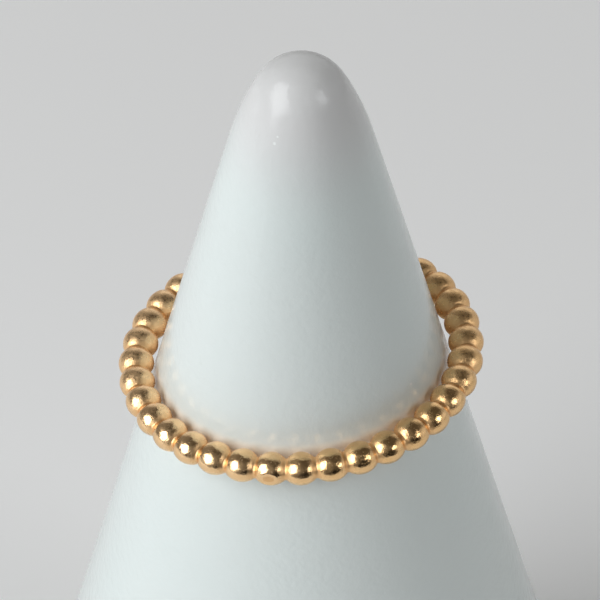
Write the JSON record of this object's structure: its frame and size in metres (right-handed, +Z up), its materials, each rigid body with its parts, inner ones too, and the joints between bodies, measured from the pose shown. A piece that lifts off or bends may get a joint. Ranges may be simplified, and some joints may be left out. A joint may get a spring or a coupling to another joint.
{
  "type": "stackable ring on a cone stand",
  "caption": "Stackable ring, a circle of polished gold beads joined by short necks, leaning a little on a plain white glazed cone with a round tip and a hollow inside.",
  "frame": {"origin": "centre of the cone's underside, on the surface that it stands on", "axes": "+Z up along the cone's axis, its longest extent; the picture looks along +Y and down, with +X to the right"},
  "size_m": [0.0358, 0.0358, 0.062],
  "materials": {
    "polished_gold": "polished gold, with fine hairlines and duller necks",
    "white_glaze": "glossy white glaze, bare on the flat of the foot"
  },
  "bodies": {
    "root": {"beaded_band": "polished_gold", "cone_stand": "white_glaze"}
  },
  "joints": []
}
